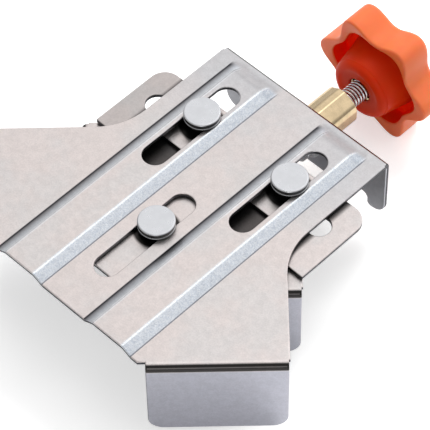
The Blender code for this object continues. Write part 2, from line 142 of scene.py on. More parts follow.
# Knob
KNOB_R = 0.02338
LOBES = 6
LOBE_DEPTH = 0.0055
LOBE_SHARPNESS = 1.2
KNOB_FRONT = 0.0310       # the lip's outer edge, from the datum
KNOB_BACK = KNOB_FRONT + 0.0118
BACK_DISH = 0.0010
BACK_EDGE = 0.0019
LIP_EDGE = 0.0008
LIP_DISH = 0.0006         # how far the lip's inner edge lies behind its outer edge
WAIST_WALL = 0.0022       # between a waist's outside and the hollow
POCKET_FLOOR = KNOB_FRONT + 0.0075
POCKET_REACH = 0.0024     # how much further the hollow reaches out in a lobe
POCKET_EDGE = 0.0005
BOSS_FRONT = 0.0243
BOSS_CONE_FRONT = BOSS_FRONT + 0.0016
BOSS_R = 0.0114
BOSS_ROOT_R = 0.0138
BOSS_EDGE = 0.0026
INSERT_BACK = 0.0373

# Tones and material slots
# Painted shade: the upright flanges take this darker, bluer tone in place of the sheet's own
FLANGE_SHADE_TONE = (0.57, 0.58, 0.66)
REAR_TONE = (0.63, 0.64, 0.67)
CUT_EDGE = 1              # slot of the sheared edges, dark partly as painted shade
POCKET_SHADE_SLOT, BOSS_SHADE_SLOT = 1, 2       # slots of the knob's pockets and boss, which get darker copies of its plastic as painted shade

# Painted light and shade across a channel's side, from just below its foot to just past its top fold:
# dark foot lines are painted shade, the lit side's bright top fold a painted highlight, the dim side a painted
# gradient (position, colour, how far it covers the sheet's own colour)
LIT_SLOPE = (
    (0.00, (0.25, 0.25, 0.27), 0.0), (0.13, (0.25, 0.25, 0.27), 0.0), (0.15, (0.25, 0.25, 0.27), 0.9),
    (0.19, (0.30, 0.30, 0.32), 0.9), (0.22, (1.0, 1.0, 1.0), 0.9), (0.76, (1.0, 1.0, 1.0), 0.9),
    (0.80, (1.3, 1.27, 1.22), 1.0), (0.92, (1.3, 1.27, 1.22), 1.0), (0.98, (1.3, 1.27, 1.22), 0.0))
DIM_SLOPE = (
    (0.00, (0.05, 0.05, 0.06), 0.0), (0.10, (0.05, 0.05, 0.06), 0.0), (0.15, (0.05, 0.05, 0.06), 1.0),
    (0.23, (0.10, 0.10, 0.11), 1.0), (0.38, (0.47, 0.47, 0.50), 1.0), (0.62, (0.78, 0.80, 0.85), 1.0),
    (0.82, (0.90, 0.92, 0.95), 1.0), (0.86, (0.45, 0.45, 0.48), 0.9), (0.90, (0.8, 0.8, 0.82), 0.0))


# Shared mesh helpers

def rounded(corners):
    """Corners (x, y, radius) of a closed outline as points, with an arc at each corner that has a radius."""
    step = math.radians(6)
    points = []
    for i, (x, y, radius) in enumerate(corners):
        here = Vector((x, y))
        if radius <= 0:
            points.append(here)
            continue
        before = Vector(corners[i - 1][:2]) - here
        after = Vector(corners[(i + 1) % len(corners)][:2]) - here
        half = before.angle(after) / 2
        reach = radius / math.tan(half)
        centre = here + (before.normalized() + after.normalized()).normalized() * (radius / math.sin(half))
        first = here + before.normalized() * reach - centre
        turn = first.angle_signed(here + after.normalized() * reach - centre)
        steps = max(3, math.ceil(abs(turn) / step))
        for k in range(steps + 1):
            points.append(centre + Matrix.Rotation(-turn * k / steps, 2) @ first)
    return points


def circle(x, y, radius, steps=48):
    turns = [2 * math.pi * k / steps for k in range(steps)]
    return [Vector((x + radius * math.cos(turn), y + radius * math.sin(turn))) for turn in turns]


def mirrored(half):
    """Close an outline from its right half, listed from the back to the front."""
    return half + [(-x, y, r) for x, y, r in reversed(half)]


def slot(x, y_from, y_to, half):
    ends = ((-half, y_from - half), (half, y_from - half), (half, y_to + half), (-half, y_to + half))
    return rounded([(x + off, end, half * 0.998) for off, end in ends])


def turned_round(points, outside):
    """Points in the order that keeps the material on the left of the path."""
    area = sum(a.x * b.y - b.x * a.y for a, b in zip(points, points[1:] + points[:1]))
    return points if (area > 0) == outside else points[::-1]


def inset(points, amount):
    """Move a path into the material on its left, mitred at each corner."""
    moved = []
    for i, here in enumerate(points):
        arrive = (here - points[i - 1]).normalized()
        leave = (points[(i + 1) % len(points)] - here).normalized()
        normal = Vector((-arrive.y - leave.y, arrive.x + leave.x))
        normal = normal.normalized()
        miter = max(0.5, normal.dot(Vector((-leave.y, leave.x))))
        moved.append(here + normal * (amount / miter))
    return moved


def blank(outlines, top, edge):
    """A flat blank of sheet metal with softened edges: its outline, then its holes."""
    work = bmesh.new()
    levels = ((edge, 0.0), (0.29 * edge, -0.29 * edge), (0.0, -edge),
              (0.0, edge - SHEET), (0.29 * edge, 0.29 * edge - SHEET), (edge, -SHEET))
    caps = ([], [])
    for k, outline in enumerate(outlines):
        path = turned_round(outline, outside=(k == 0))
        rings = [[work.verts.new((p.x, p.y, top + h)) for p in inset(path, amount)] for amount, h in levels]
        for row, (upper, lower) in enumerate(zip(rings, rings[1:])):
            for i in range(len(path)):
                face = work.faces.new((upper[i - 1], lower[i - 1], lower[i], upper[i]))
                face.material_index = CUT_EDGE if row == 2 else 0
        for cap, ring in zip(caps, (rings[0], rings[-1])):
            cap.extend(work.edges.get((ring[i - 1], ring[i])) for i in range(len(ring)))
    for cap in caps:
        bmesh.ops.triangle_fill(work, use_beauty=True, use_dissolve=False, edges=cap, normal=(0, 0, 1))
    return work


def score(work, points, normal):
    """Cut the blank along lines, so that it can be pressed or folded there."""
    for point in points:
        everything = work.verts[:] + work.edges[:] + work.faces[:]
        bmesh.ops.bisect_plane(work, geom=everything, dist=1e-7, plane_co=point, plane_no=normal)


def fold(work, square, face, top, inside):
    """Fold what lies past the bend line down round the bend, where inside(vertex) holds."""
    start = face - BEND
    length = BEND * math.pi / 2
    score(work, [square * (start + length * k / 10) for k in range(-1, 12)], square)
    for vert in work.verts:
        past = vert.co.dot(square) - start
        if past <= 0 or not inside(vert.co):
            continue
        depth = top - vert.co.z
        turn = min(past / length, 1.0) * math.pi / 2
        out = start + (BEND - depth) * math.sin(turn)
        down = top - BEND + (BEND - depth) * math.cos(turn) - max(0.0, past - length)
        vert.co += square * (out - start - past)
        vert.co.z = down


def flat_length(depth):
    """Length of flat blank past the bend line that folds into a flange of this depth."""
    return BEND * math.pi / 2 + depth - BEND


def piece(name, work, mats, smooth=50):
    """A finished mesh object, lifted to the clamp's place, smooth except at true corners."""
    bmesh.ops.remove_doubles(work, verts=work.verts, dist=1e-7)
    bmesh.ops.recalc_face_normals(work, faces=work.faces)
    bmesh.ops.translate(work, verts=work.verts, vec=DATUM)
    mesh = bpy.data.meshes.new(name)
    work.to_mesh(mesh)
    work.free()
    for mat in mats if isinstance(mats, tuple) else (mats,):
        mesh.materials.append(mat)
    mesh.shade_smooth()
    mesh.set_sharp_from_angle(angle=math.radians(smooth))
    return add_object(name, mesh)


def weigh_normals(obj):
    """Let the large flat faces rule the shading beside bends and softened edges."""
    weigh = obj.modifiers.new("Flat faces first", "WEIGHTED_NORMAL")
    weigh.keep_sharp = True
    weigh.weight = 100
    return baked(obj)


def add_object(name, data):
    obj = bpy.data.objects.new(name, data)
    bpy.context.scene.collection.objects.link(obj)
    return obj


def baked(obj):
    """The object with its modifiers applied, as a plain mesh."""
    bpy.context.view_layer.update()
    graph = bpy.context.evaluated_depsgraph_get()
    mesh = bpy.data.meshes.new_from_object(obj.evaluated_get(graph), depsgraph=graph)
    obj.modifiers.clear()
    mesh.name = obj.data.name
    obj.data = mesh
    return obj


def lathe(work, profile, steps, place):
    """Revolve (radius, height) points, listed from the top down, about local Z, closed at its poles."""
    first = len(work.verts)
    rings = []
    for radius, height in profile:
        if radius < 1e-7:
            rings.append([work.verts.new((0, 0, height))])
        else:
            rings.append([work.verts.new((p.x, p.y, height)) for p in circle(0, 0, radius, steps)])
    if len(rings[0]) > 1:
        rings.append(rings[0])
    for upper, lower in zip(rings, rings[1:]):
        for i in range(steps):
            a, b = upper[i - 1 if len(upper) > 1 else 0], upper[i if len(upper) > 1 else 0]
            c, d = lower[i if len(lower) > 1 else 0], lower[i - 1 if len(lower) > 1 else 0]
            corners = list(dict.fromkeys((a, d, c, b)))
            if len(corners) > 2:
                work.faces.new(corners)
    work.verts.ensure_lookup_table()
    bmesh.ops.transform(work, verts=work.verts[first:], matrix=place)


def arc(radius, height, size, start, stop, steps):
    """Profile points on an arc about (radius, height), by angle from outwards, in degrees."""
    turns = [math.radians(start + (stop - start) * k / steps) for k in range(steps + 1)]
    return [(radius + size * math.cos(turn), height + size * math.sin(turn)) for turn in turns]


def reach_of(node):
    """Where a node starts and ends along the clamp, from the datum."""
    low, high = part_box(node)
    return low.y - DATUM.y, high.y - DATUM.y


def along_spindle():
    """Local Z along the spindle towards the knob."""
    return Matrix.Translation((0, 0, SPINDLE_Z)) @ Matrix.Rotation(-math.pi / 2, 4, "X")


# Materials

def new_material(name, diffuse):
    mat = bpy.data.materials.new(name)
    mat.use_nodes = True
    mat.diffuse_color = (*diffuse, 1.0)
    return mat, mat.node_tree.nodes["Principled BSDF"]


def add_node(tree, kind, links=(), **settings):
    """A node with its settings, socket defaults (by index or name) and incoming links."""
    node = tree.nodes.new(kind)
    for key, value in settings.items():
        setattr(node, key, value)
    for socket, source in links:
        if isinstance(source, bpy.types.NodeSocket):
            tree.links.new(source, node.inputs[socket])
        else:
            node.inputs[socket].default_value = source
    return node


def noise_node(tree, coords, scale, detail=2.0, rough=0.5):
    """Cloudy value about 0.5; the scale is in cells per metre."""
    links = ((0, coords), ("Scale", scale), ("Detail", detail), ("Roughness", rough))
    return add_node(tree, "ShaderNodeTexNoise", links).outputs[0]


def span(tree, value, low, high, out_low, out_high):
    """Smooth step from out_low to out_high while the value goes from low to high."""
    links = ((0, value), (1, low), (2, high), (3, out_low), (4, out_high))
    return add_node(tree, "ShaderNodeMapRange", links, interpolation_type="SMOOTHSTEP").outputs[0]


def maths(tree, operation, a, b=0.0):
    return add_node(tree, "ShaderNodeMath", ((0, a), (1, b)), operation=operation).outputs[0]


def times(tree, product, *factors):
    for factor in factors:
        product = maths(tree, "MULTIPLY", product, factor)
    return product


def blend_colours(tree, factor, a, b, mode="MIX"):
    node = tree.nodes.new("ShaderNodeMix")
    node.data_type = "RGBA"
    node.blend_type = mode
    for socket, value in ((0, factor), (6, a), (7, b)):
        if isinstance(value, bpy.types.NodeSocket):
            tree.links.new(value, node.inputs[socket])
        elif socket == 0:
            node.inputs[0].default_value = value
        else:
            node.inputs[socket].default_value = (*value, 1.0)
    return node.outputs[2]


def bands(tree, value, stops):
    """Colour and cover from (position, colour, cover) stops along a value."""
    node = add_node(tree, "ShaderNodeValToRGB", ((0, value),))
    marks = node.color_ramp.elements
    while len(marks) < len(stops):
        marks.new(1.0)
    for mark, (position, tone, cover) in zip(marks, stops):
        mark.position = position
        mark.color = (*tone, cover)
    return node.outputs["Color"], node.outputs["Alpha"]


def bump(tree, shader, height, distance, strength):
    links = (("Height", height), ("Distance", distance), ("Strength", strength))
    tree.links.new(add_node(tree, "ShaderNodeBump", links).outputs[0], shader.inputs["Normal"])


def make_metal(tree, shader, colour, rough):
    tree.links.new(colour, shader.inputs["Base Color"])
    tree.links.new(rough, shader.inputs["Roughness"])
    shader.inputs["Metallic"].default_value = 1.0


def object_coords(tree):
    return tree.nodes.new("ShaderNodeTexCoord").outputs["Object"]


def split_normal(tree):
    """The surface's own direction, in the object's axes."""
    normal = tree.nodes.new("ShaderNodeTexCoord").outputs["Normal"]
    return add_node(tree, "ShaderNodeSeparateXYZ", ((0, normal),)).outputs


def painted_guide_shade(tree, coords, place, across, top):
    """Painted shade on the guide plate: its left wing darker, painted shadow beside the strip's edges and round
    the pins.
    """
    lee = maths(tree, "ABSOLUTE", maths(tree, "SUBTRACT", across, STRIP_HALF))
    shades = [span(tree, place["X"], -0.0360, -0.0300, 0.76, 1.0), span(tree, lee, 0.0008, 0.0024, 0.25, 1.0)]
    for _, x, y, _ in PINS:
        links = ((0, coords), (1, DATUM + Vector((x, y, top))))
        away = add_node(tree, "ShaderNodeVectorMath", links, operation="DISTANCE").outputs["Value"]
        shades.append(span(tree, away, HEAD_R + 0.0010, HEAD_R + 0.0022, 0.06, 1.0))
    return shades


def channel_look(tree, coords, place, across, facing, level, colour, rough, grain):
    """The ribbed plate's colour, roughness and bump: a cooler, darker rear, channel sides stretched to open
    spangle, with painted light and shade across their sides.
    """
    middle, half = (RIB_INNER + RIB_OUTER) / 2, (RIB_OUTER - RIB_INNER) / 2
    # The channel tops grow cooler and darker towards the back flange
    rear = times(tree, span(tree, place["Y"], DATUM.y - 0.0480, DATUM.y - 0.0100, 0.0, 1.0),
                 span(tree, across, RIB_INNER - 0.0010, RIB_INNER + 0.0020, 0.25, 0.65))
    colour = blend_colours(tree, rear, colour, REAR_TONE)

    off = maths(tree, "ABSOLUTE", maths(tree, "SUBTRACT", across, middle))
    climb = maths(tree, "SUBTRACT", half + RIB_SLOPE * 0.25, off)
    climb = maths(tree, "DIVIDE", climb, RIB_SLOPE * 1.5)
    pressed = times(tree, span(tree, place["Y"], DATUM.y - 0.0060, DATUM.y - 0.0036, 1.0, 0.0),
                    span(tree, level, -0.0003, -0.0001, 0.0, 1.0))
    end_y = DATUM.y - 0.0058
    from_end = maths(tree, "ABSOLUTE", maths(tree, "SUBTRACT", place["Y"], end_y))
    end = times(tree, span(tree, from_end, 0.0020, 0.0040, 1.0, 0.0),
                span(tree, off, half - 0.0010, half, 1.0, 0.0))
    rough = maths(tree, "ADD", rough, times(tree, end, 0.30))

    cells = add_node(tree, "ShaderNodeTexVoronoi", ((0, coords), ("Scale", 3200.0)))
    flake = add_node(tree, "ShaderNodeSeparateColor", ((0, cells.outputs["Color"]),)).outputs[0]
    spangle = blend_colours(tree, flake, (0.60, 0.66, 0.75), (0.84, 0.88, 0.93))
    # The lit side gets spangle and a painted highlight, the dim side painted shade: one side lighter only
    # because of how light falls
    lit, lit_cover = bands(tree, climb, LIT_SLOPE)
    dim, dim_cover = bands(tree, climb, DIM_SLOPE)
    lit = blend_colours(tree, 1.0, lit, spangle, "MULTIPLY")
    side = span(tree, facing["X"], -0.03, 0.03, 0.0, 1.0)
    cover = maths(tree, "ADD", times(tree, side, lit_cover),
                  times(tree, maths(tree, "SUBTRACT", 1.0, side), dim_cover))
    cover = times(tree, cover, pressed)
    colour = blend_colours(tree, cover, colour, blend_colours(tree, side, dim, lit))
    return colour, rough, maths(tree, "ADD", grain, times(tree, cover, flake))


def sheet_steel(name, warm, cool, roughness, top, slopes, strip_shadowed):
    """Zinc-coated sheet: cloudy tone, fine grain, and bends darkened by painted shade below its upper face at
    top.

    slopes is for the ribbed plate; of the plates under it, covered is for the lower one, which painted shadow
    darkens where the strip lies over it.
    """
    mat, shader = new_material(name, warm)
    tree = mat.node_tree
    coords = object_coords(tree)
    place = add_node(tree, "ShaderNodeSeparateXYZ", ((0, coords),)).outputs
    facing = split_normal(tree)
    across = maths(tree, "ABSOLUTE", place["X"])
    level = maths(tree, "SUBTRACT", place["Z"], DATUM.z + top)
    cloud = noise_node(tree, coords, 70.0, 4.0)
    grain = noise_node(tree, coords, 1900.0, 3.0, 0.65)
    mottle = noise_node(tree, coords, 480.0, 3.0, 0.6)

    flange = span(tree, level, -0.0030, -0.0020, 1.0, 0.0)
    # The bend zone: painted shade darkens it further down, and its roughness drops
    bend = times(tree, span(tree, level, -0.0027, -0.0020, 0.0, 1.0),
                 span(tree, level, -0.0004, -0.0001, 1.0, 0.0))
    # Flange faces turned to the front: painted shade, down to 0.6 below
    inner = times(tree, span(tree, facing["Y"], -0.92, -0.80, 1.0, 0.0), flange)
    colour = blend_colours(tree, span(tree, cloud, 0.38, 0.66, 0.0, 1.0), warm, cool)
    # Painted shade: the flanges are turned towards a darker, bluer tone
    colour = blend_colours(tree, times(tree, flange, 0.9), colour, FLANGE_SHADE_TONE)
    rough = maths(tree, "ADD", span(tree, cloud, 0.3, 0.7, roughness - 0.02, roughness + 0.03),
                  span(tree, grain, 0.3, 0.7, -0.02, 0.02))
    rough = times(tree, rough, span(tree, bend, 0.0, 1.0, 1.0, 0.45))
    height = grain
    # Painted shade: bends to 0.07, faces turned downwards to 0.2, the flanges' front-facing faces to 0.6;
    # mottle and grain are the sheet's own
    shades = [
        span(tree, mottle, 0.25, 0.75, 0.94, 1.04), span(tree, grain, 0.25, 0.75, 0.93, 1.05),
        span(tree, bend, 0.0, 1.0, 1.0, 0.07), span(tree, facing["Z"], -0.8, -0.4, 0.2, 1.0),
        span(tree, inner, 0.0, 1.0, 1.0, 0.6),
    ]
    if slopes:
        colour, rough, height = channel_look(tree, coords, place, across, facing, level, colour, rough, grain)
    elif strip_shadowed:
        # Painted shadow of the strip on the lower plate
        shades.append(span(tree, across, STRIP_HALF, STRIP_HALF + 0.0030, 0.14, 1.0))
    else:
        shades += painted_guide_shade(tree, coords, place, across, top)
    shade = times(tree, *shades)
    grey = add_node(tree, "ShaderNodeCombineXYZ", ((0, shade), (1, shade), (2, shade))).outputs[0]
    tint = add_node(tree, "ShaderNodeVectorMath", ((0, colour), (1, grey)), operation="MULTIPLY")
    make_metal(tree, shader, tint.outputs[0], rough)
    bump(tree, shader, height, 0.00002, 0.3)
    return mat


def machined(name, light, dark, roughness, grit=0.5, side=1.0):
    """Turned or plated metal: slight tone changes, fine grain; a side below 1 darkens its upright faces with
    painted shade.
    """
    mat, shader = new_material(name, light)
    tree = mat.node_tree
    coords = object_coords(tree)
    tone = noise_node(tree, coords, 260.0, 3.0, 0.6)
    grain = noise_node(tree, coords, 2400.0)
    colour = blend_colours(tree, span(tree, tone, 0.35, 0.7, 0.0, 1.0), light, dark)
    rough = maths(tree, "ADD", span(tree, tone, 0.3, 0.7, roughness - 0.03, roughness + 0.04),
                  span(tree, grain, 0.3, 0.7, -0.02, 0.02))
    if side < 1:
        # Painted shade: upright faces, such as a pin head's side and its washer, turn nearly black
        shadow = span(tree, split_normal(tree)["Z"], 0.10, 0.55, 1.0 - side, 0.0)
        colour = blend_colours(tree, shadow, colour, (0.02, 0.02, 0.02))
    make_metal(tree, shader, colour, rough)
    bump(tree, shader, grain, 0.00001, grit)
    return mat


def moulded_plastic(name, bright, deep, shine=0.45, glow=0.003):
    """Moulded plastic, slightly clouded, with a fine skin; glow is how far light soaks into it."""
    mat, shader = new_material(name, bright)
    tree = mat.node_tree
    coords = object_coords(tree)
    cloud = noise_node(tree, coords, 120.0, 3.0)
    skin = noise_node(tree, coords, 3200.0)
    colour = blend_colours(tree, span(tree, cloud, 0.35, 0.7, 0.0, 0.35), bright, deep)
    tree.links.new(colour, shader.inputs["Base Color"])
    tree.links.new(span(tree, cloud, 0.3, 0.7, 0.32, 0.40), shader.inputs["Roughness"])
    shader.inputs["Subsurface Weight"].default_value = 0.6
    shader.inputs["Subsurface Radius"].default_value = (1.0, 0.10, 0.02)
    shader.inputs["Subsurface Scale"].default_value = glow
    shader.inputs["Specular IOR Level"].default_value = shine
    bump(tree, shader, skin, 0.00001, 0.4)
    return mat


# Pressed plates

def slopes_at(x):
    """Height of the raised channels across the strip: their sides rise steeply, then ease to the top fold."""
    middle = (RIB_INNER + RIB_OUTER) / 2
    edge = (RIB_OUTER - RIB_INNER) / 2 - abs(abs(x) - middle)
    t = min(max(edge / RIB_SLOPE, 0.0), 1.0)
    return t * (1 + RIB_BULGE * (1 - t))


def channel_fade(y):
    """How much of the channels' height is left this close to the back flange."""
    t = (-y - RIB_FADE_END) / (RIB_FADE_START - RIB_FADE_END)
    t = min(max(t, 0.0), 1.0)
    return t * t * (3 - 2 * t)


def square_to(side):
    return Vector((side * DIAGONAL, -DIAGONAL, 0))


def on_board(u, v, side=1):
    """Plan position from distance along the board (u) and square to it (v)."""
    return side * DIAGONAL * (u + v), DIAGONAL * (u - v)


def top_blank():
    tip = JAW_FOLD + flat_length(JAW_DEPTH)
    rear = JAW_REAR - RELIEF
    back = flat_length(BACK_DEPTH) - BEND
    low = back - ARCH_HEIGHT
    half = [
        (ARCH_FROM, back, 0.0016), (ARCH_FROM, low, ARCH_ROUND), (ARCH_TO, low, ARCH_ROUND),
        (ARCH_TO, back, 0.0016),
        (STRIP_HALF - RELIEF, back, BACK_CORNER), (STRIP_HALF - RELIEF, -BEND, 0), (STRIP_HALF, -BEND, 0),
        (STRIP_HALF, JAW_REAR / DIAGONAL - STRIP_HALF, WING_FILLET),
        (*on_board(JAW_REAR, JAW_FOLD), 0), (*on_board(rear, JAW_FOLD), 0),
        (*on_board(rear, tip), JAW_CORNER), (*on_board(JAW_FRONT, tip), JAW_CORNER),
        (*on_board(JAW_FRONT, JAW_FOLD), 0), (FRONT_HALF, -STRIP_LENGTH, 0),
    ]
    return rounded(mirrored(half))


def make_top_plate(mats, edge):
    slots = [slot(x, y - SLOT_FRONT, y + SLOT_BACK, SLOT_HALF) for _, x, y, _ in PINS]
    hole_y = -BEND + BEND * math.pi / 2 - BEND - SPINDLE_Z
    work = blank([top_blank()] + slots + [circle(0, hole_y, BORE_R)], 0.0, edge)

    creases = [RIB_INNER - CREASE, RIB_INNER + RIB_SLOPE + CREASE,
               RIB_OUTER - RIB_SLOPE - CREASE, RIB_OUTER + CREASE]
    for k in range(9):
        creases += [RIB_INNER + RIB_SLOPE * k / 8, RIB_OUTER - RIB_SLOPE * k / 8]
    score(work, [Vector((s * x, 0, 0)) for x in creases for s in (1, -1)], Vector((1, 0, 0)))
    fades = [RIB_FADE_END + (RIB_FADE_START - RIB_FADE_END) * k / 10 for k in range(11)]
    score(work, [Vector((0, -y, 0)) for y in fades], Vector((0, 1, 0)))
    for vert in work.verts:
        vert.co.z += RIB_RISE * slopes_at(vert.co.x) * channel_fade(vert.co.y)

    for side in (1, -1):
        fold(work, square_to(side), JAW_FACE, 0.0, lambda co, s=side: co.x * s > 0 and co.y < -BEND)
    fold(work, Vector((0, 1, 0)), 0.0, 0.0, lambda co: True)
    return weigh_normals(piece("top_plate_skin", work, mats))


def pin_holes():
    return [circle(x, y, TAIL_R + GAP) for _, x, y, _ in PINS]


def make_guide_plate(mats, edge):
    lug = GUIDE_BACK - BEND + flat_length(LUG_DEPTH)
    notch = LUG_HALF + SHEET
    half = [
        (LUG_HALF, lug, LUG_CORNER), (LUG_HALF, GUIDE_BACK - BEND, 0), (notch, GUIDE_BACK - BEND, 0),
        (notch, GUIDE_BACK, SHARP_CORNER), (GUIDE_HALF, GUIDE_BACK, GUIDE_CORNER),
        (GUIDE_HALF, GUIDE_WING_FRONT, SHARP_CORNER), (GUIDE_STEP_X, GUIDE_WING_FRONT, SHARP_CORNER),
        (GUIDE_STEP_X, GUIDE_INNER_FRONT, GUIDE_CORNER / 2),
        (TONGUE_HALF, GUIDE_INNER_FRONT, GUIDE_CORNER / 2), (TONGUE_HALF, TONGUE_FRONT, SHARP_CORNER),
    ]
    x, y, radius = SPY_HOLE
    hole_y = GUIDE_BACK - BEND + BEND * math.pi / 2 + GUIDE_TOP - BEND - SPINDLE_Z
    holes = [circle(x, y, radius), circle(-x, y, radius), circle(0, hole_y, BORE_R)] + pin_holes()
    work = blank([rounded(mirrored(half))] + holes, GUIDE_TOP, edge)
    fold(work, Vector((0, 1, 0)), GUIDE_BACK, GUIDE_TOP, lambda co: abs(co.x) < LUG_HALF + SHEET / 2)
    return weigh_normals(piece("guide_plate_skin", work, mats))


def make_jaw_plate(mats, edge):
    start = PRESS_FACE - BEND
    tip = start + flat_length(PRESS_DEPTH)
    half = [
        (JAW_PLATE_NECK, JAW_PLATE_BACK, JAW_CORNER / 2),
        (JAW_PLATE_NECK, PRESS_REAR / DIAGONAL - JAW_PLATE_NECK, JAW_CORNER),
        (*on_board(PRESS_REAR, start), 0), (*on_board(PRESS_REAR - RELIEF, start), 0),
        (*on_board(PRESS_REAR - RELIEF, tip), JAW_CORNER), (*on_board(PRESS_FRONT + RELIEF, tip), JAW_CORNER),
        (*on_board(PRESS_FRONT + RELIEF, start), 0), (*on_board(PRESS_FRONT, start), 0),
    ]
    work = blank([rounded(mirrored(half))] + pin_holes(), JAW_PLATE_TOP, edge)
    for side in (1, -1):
        fold(work, square_to(side), PRESS_FACE, JAW_PLATE_TOP, lambda co, s=side: co.x * s > 0)
    return weigh_normals(piece("jaw_plate_skin", work, mats))


# Turned pieces

def make_pin(name, x, y, seat, mat):
    """Headed pin: flat head with a broken edge, shoulder in the slot, tail riveted under the slider."""
    under = seat + 2 * GAP + WASHER_H
    top = under + HEAD_H
    edge, rivet, bulge = 0.00045, 0.0030, 0.0012
    low = JAW_PLATE_TOP - SHEET - GAP
    profile = [(0, top), (HEAD_R - edge * 1.5, top)]
    profile += arc(HEAD_R - edge, top - edge, edge, 90, 0, 5)
    profile += arc(HEAD_R - edge * 0.4, under + edge * 0.4, edge * 0.4, 0, -90, 3)
    profile += [(SHANK_R, under), (SHANK_R, GUIDE_TOP + GAP), (TAIL_R, GUIDE_TOP + GAP), (TAIL_R, low)]
    profile += arc(rivet, low - 0.0002, bulge, 10, -80, 6)
    profile += [(0, low - bulge)]
    work = bmesh.new()
    lathe(work, profile, 64, Matrix.Translation((x, y, 0)))
    return piece(name + "_turned", work, mat, 35)


def hexagon_section(radius, steps):
    """A hexagon's outline as radii at even angles, with its corners a little rounded."""
    flats = NUT_FLATS / 2
    radii = []
    for k in range(steps):
        angle = math.radians(abs((k / steps * 360) % 60 - 30))
        flat = flats / math.cos(angle)
        if angle > NUT_CORNER_FROM:
            share = (angle - NUT_CORNER_FROM) / (math.radians(30) - NUT_CORNER_FROM)
            flat -= NUT_CORNER_LOSS * share * share
        radii.append(min(radius, flat))
    return radii


def make_hex(name, y_from, y_to, mat, turn):
    """Hexagonal nut: bowed chamfers on its corners at both ends, countersunk bore."""
    steps = 144
    chamfer, reach, sink = 0.0011, 0.0011 * 2.2, 0.0006
    corner = NUT_FLATS / math.sqrt(3)
    bow = [math.radians(90 * k / 6) for k in range(7)]
    limits = [(corner - reach * (1 - math.sin(t)), y_to - chamfer * (1 - math.cos(t))) for t in bow]
    limits += [(corner - reach * (1 - math.cos(t)), y_from + chamfer * (1 - math.sin(t))) for t in bow]
    bore = [(BORE_R, y_from + sink), (BORE_R, y_to - sink)]
    work = bmesh.new()
    rings = []
    for limit, height in [(BORE_R + sink, y_to)] + limits + [(BORE_R + sink, y_from)] + bore:
        points = zip(circle(0, 0, 1.0, steps), hexagon_section(limit, steps))
        rings.append([work.verts.new((r * p.x, r * p.y, height)) for p, r in points])
    for upper, lower in zip(rings, rings[1:] + rings[:1]):
        for i in range(steps):
            work.faces.new((upper[i - 1], lower[i - 1], lower[i], upper[i]))
    bmesh.ops.transform(work, verts=work.verts, matrix=along_spindle() @ Matrix.Rotation(turn, 4, "Z"))
    return piece(name, work, mat, 24)


def make_ring(name, inner, outer, low, high, place, mat, edge=0.00012):
    """Washer or bush with broken edges, between two heights of its place."""
    work = bmesh.new()
    profile = [(inner, high - edge), (inner + edge, high), (outer - edge, high), (outer, high - edge),
               (outer, low + edge), (outer - edge, low), (inner + edge, low), (inner, low + edge)]
    lathe(work, profile, 64, place)
    return piece(name, work, mat, 35)


def ring_on_spindle(node, mat, **more):
    """Ring that fills its node's box round the spindle."""
    low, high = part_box(node)
    outer = (high.x - low.x) / 2
    return make_ring(node + "_ring", BORE_R, outer, *reach_of(node), along_spindle(), mat, **more)


def thread_tree(mat):
    """Node tree that winds a thread's ridge round the local Z axis."""
    tree = bpy.data.node_groups.new("Thread ridge", "GeometryNodeTree")
    tree.interface.new_socket("Geometry", in_out="OUTPUT", socket_type="NodeSocketGeometry")
    sockets = {}
    for name in ("Turns", "Pitch", "Crest Radius", "Depth"):
        item = tree.interface.new_socket(name, in_out="INPUT", socket_type="NodeSocketFloat")
        sockets[name] = item.identifier
    given = tree.nodes.new("NodeGroupInput").outputs
    turns, pitch, depth = given["Turns"], given["Pitch"], given["Depth"]
    root = maths(tree, "SUBTRACT", given["Crest Radius"], depth)
    spiral = add_node(tree, "GeometryNodeCurveSpiral", (
        ("Resolution", 48), ("Rotations", turns), ("Start Radius", root), ("End Radius", root),
        ("Height", times(tree, turns, pitch)), ("Reverse", True)))
    upright = add_node(tree, "GeometryNodeSetCurveNormal", (("Curve", spiral.outputs[0]),), mode="Z_UP")

    corners = ((0.4, -0.46), (0.4, 0.46), (-1.0, 0.22), (-1.0, -0.22))
    points = [add_node(tree, "ShaderNodeCombineXYZ", ((0, times(tree, depth, inwards)),
                                                      (1, times(tree, pitch, along)))).outputs[0]
              for inwards, along in corners]
    ridge = add_node(tree, "GeometryNodeCurvePrimitiveQuadrilateral",
                     [("Point %d" % k, point) for k, point in enumerate(points, 1)], mode="POINTS")
    sweep = add_node(tree, "GeometryNodeCurveToMesh", (
        ("Curve", upright.outputs[0]), ("Profile Curve", ridge.outputs[0]), ("Fill Caps", True)))
    real = add_node(tree, "GeometryNodeRealizeInstances", ((0, sweep.outputs[0]),))
    paint = add_node(tree, "GeometryNodeSetMaterial", (("Geometry", real.outputs[0]), ("Material", mat)))
    add_node(tree, "NodeGroupOutput", ((0, paint.outputs[0]),))
    return tree, sockets


